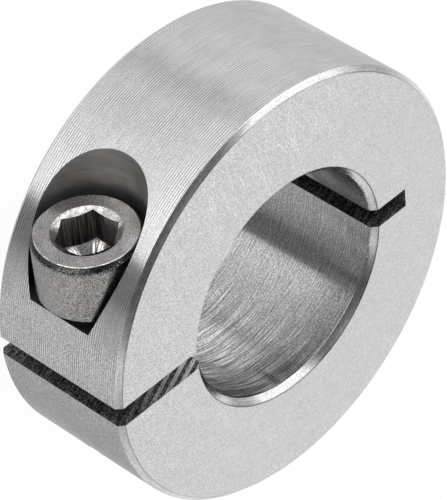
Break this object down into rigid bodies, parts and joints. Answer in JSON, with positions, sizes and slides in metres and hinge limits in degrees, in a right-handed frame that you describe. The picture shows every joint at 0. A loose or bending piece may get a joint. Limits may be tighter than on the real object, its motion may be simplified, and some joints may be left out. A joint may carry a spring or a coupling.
{
  "type": "clamping ring",
  "caption": "One-piece slit clamping ring with chamfered edges, a relief cut and a recessed hexagon socket cap screw that closes it on a round shaft.",
  "frame": {"origin": "on the axis of the bore, at the back face that the ring lies on", "axes": "+Z along the bore towards the front face, +X towards the blind relief cut with the open slit at -X, +Y towards the head of the clamping screw"},
  "size_m": [0.042, 0.042, 0.015],
  "materials": {
    "turned_stainless": "fine turned and ground stainless steel, satin",
    "formed_stainless": "cold formed stainless steel, matt"
  },
  "bodies": {
    "ring": {"collar_ring": "turned_stainless"},
    "screw": {"clamp_screw": "formed_stainless"}
  },
  "joints": [
    {"name": "screw_turn", "type": "hinge", "parent": "ring", "child": "screw", "pos_m": [-0.01565, 0.0076, 0.0075], "axis": [0, 1, 0], "range_deg": [-324, 2664]}
  ]
}
